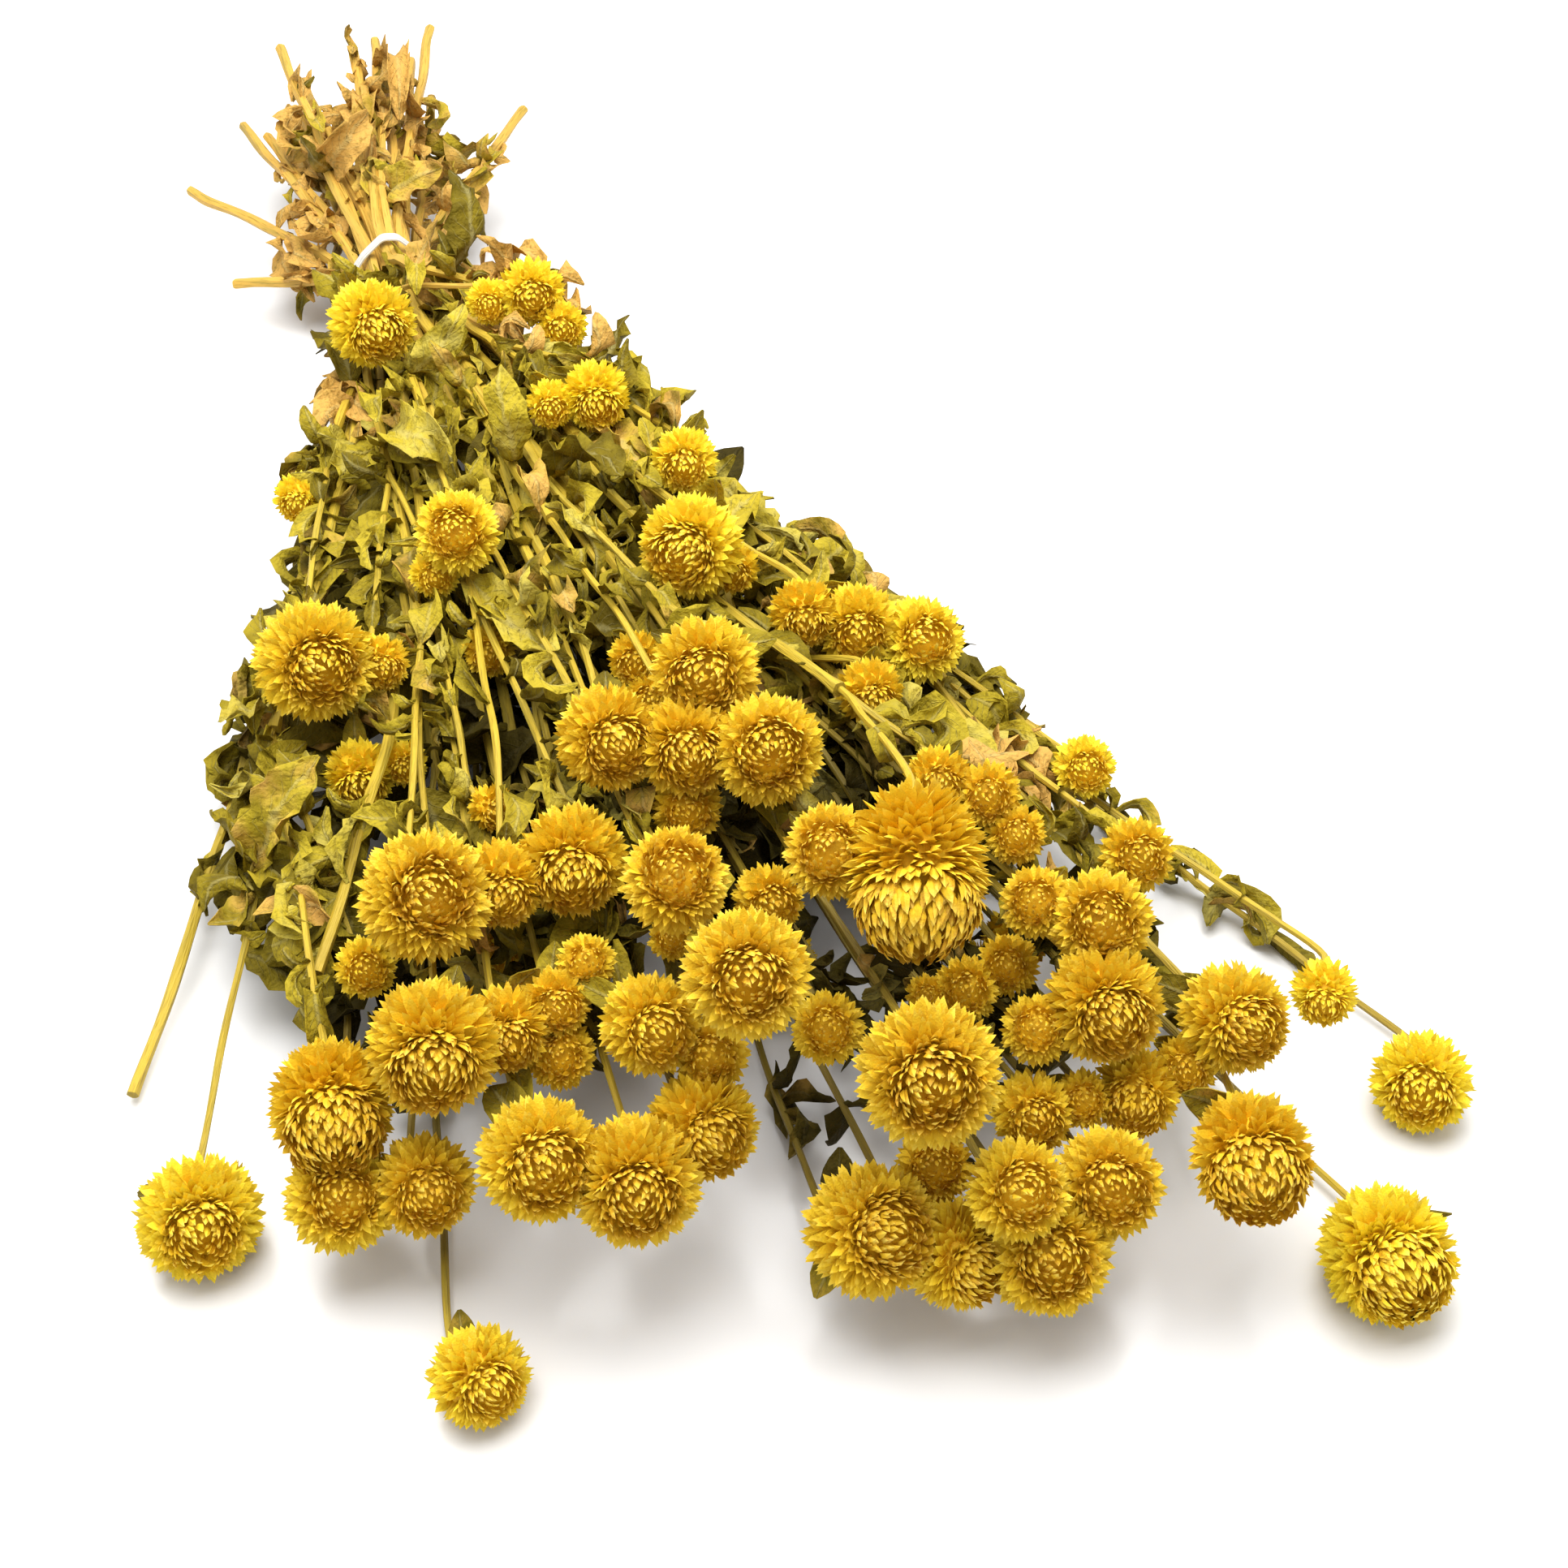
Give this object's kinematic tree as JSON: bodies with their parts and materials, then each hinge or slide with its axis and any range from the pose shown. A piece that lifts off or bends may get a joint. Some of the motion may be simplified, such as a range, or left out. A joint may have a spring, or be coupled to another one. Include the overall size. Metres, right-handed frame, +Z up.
{
  "type": "dried globe amaranth bunch",
  "caption": "Tied bunch of dried golden globe amaranth: spiky round flower heads on branching stems with curled leaves, lying down for display.",
  "frame": {"origin": "on the table, below the middle of the lying bunch's box", "axes": "+Y along the bunch from the flower heads to the cut stem ends, +X across it, +Z up"},
  "size_m": [0.2668, 0.5108, 0.088],
  "materials": {
    "bracts": "dry papery bracts, golden yellow with paler keels and browner shade between them",
    "dried_green": "dried ribbed stems, straw to olive, and crumpled olive, grey-green and brown leaves",
    "elastic": "thin white elastic band, matt"
  },
  "bodies": {
    "root": {"elastic_band": "elastic", "stems_far_left": "dried_green", "stems_left": "dried_green", "stems_left_low": "dried_green", "stems_left_top": "dried_green", "stems_middle_low": "dried_green", "stems_middle_top": "dried_green", "stems_middle_right": "dried_green", "stems_crown": "dried_green", "stems_right_top": "dried_green", "stems_right_middle": "dried_green", "stems_front_low": "dried_green", "stems_far_right": "dried_green", "stems_right_low": "dried_green", "stems_underside": "dried_green", "heads_01": "bracts", "heads_02": "bracts", "heads_03": "bracts", "heads_04": "bracts", "heads_05": "bracts", "heads_06": "bracts", "heads_07": "bracts", "heads_08": "bracts", "heads_09": "bracts", "heads_10": "bracts", "heads_11": "bracts", "heads_12": "bracts", "heads_13": "bracts", "heads_14": "bracts", "heads_15": "bracts", "heads_16": "bracts", "heads_17": "bracts", "heads_18": "bracts", "heads_19": "bracts", "heads_20": "bracts", "heads_21": "bracts", "heads_22": "bracts", "heads_23": "bracts", "heads_24": "bracts", "heads_25": "bracts", "heads_26": "bracts", "heads_27": "bracts", "heads_28": "bracts", "heads_29": "bracts", "heads_30": "bracts", "heads_31": "bracts", "heads_32": "bracts", "heads_33": "bracts", "heads_34": "bracts", "heads_35": "bracts", "heads_36": "bracts", "heads_37": "bracts", "heads_38": "bracts", "heads_39": "bracts", "heads_40": "bracts", "heads_41": "bracts", "heads_42": "bracts", "heads_43": "bracts", "heads_44": "bracts", "heads_45": "bracts"}
  },
  "joints": []
}
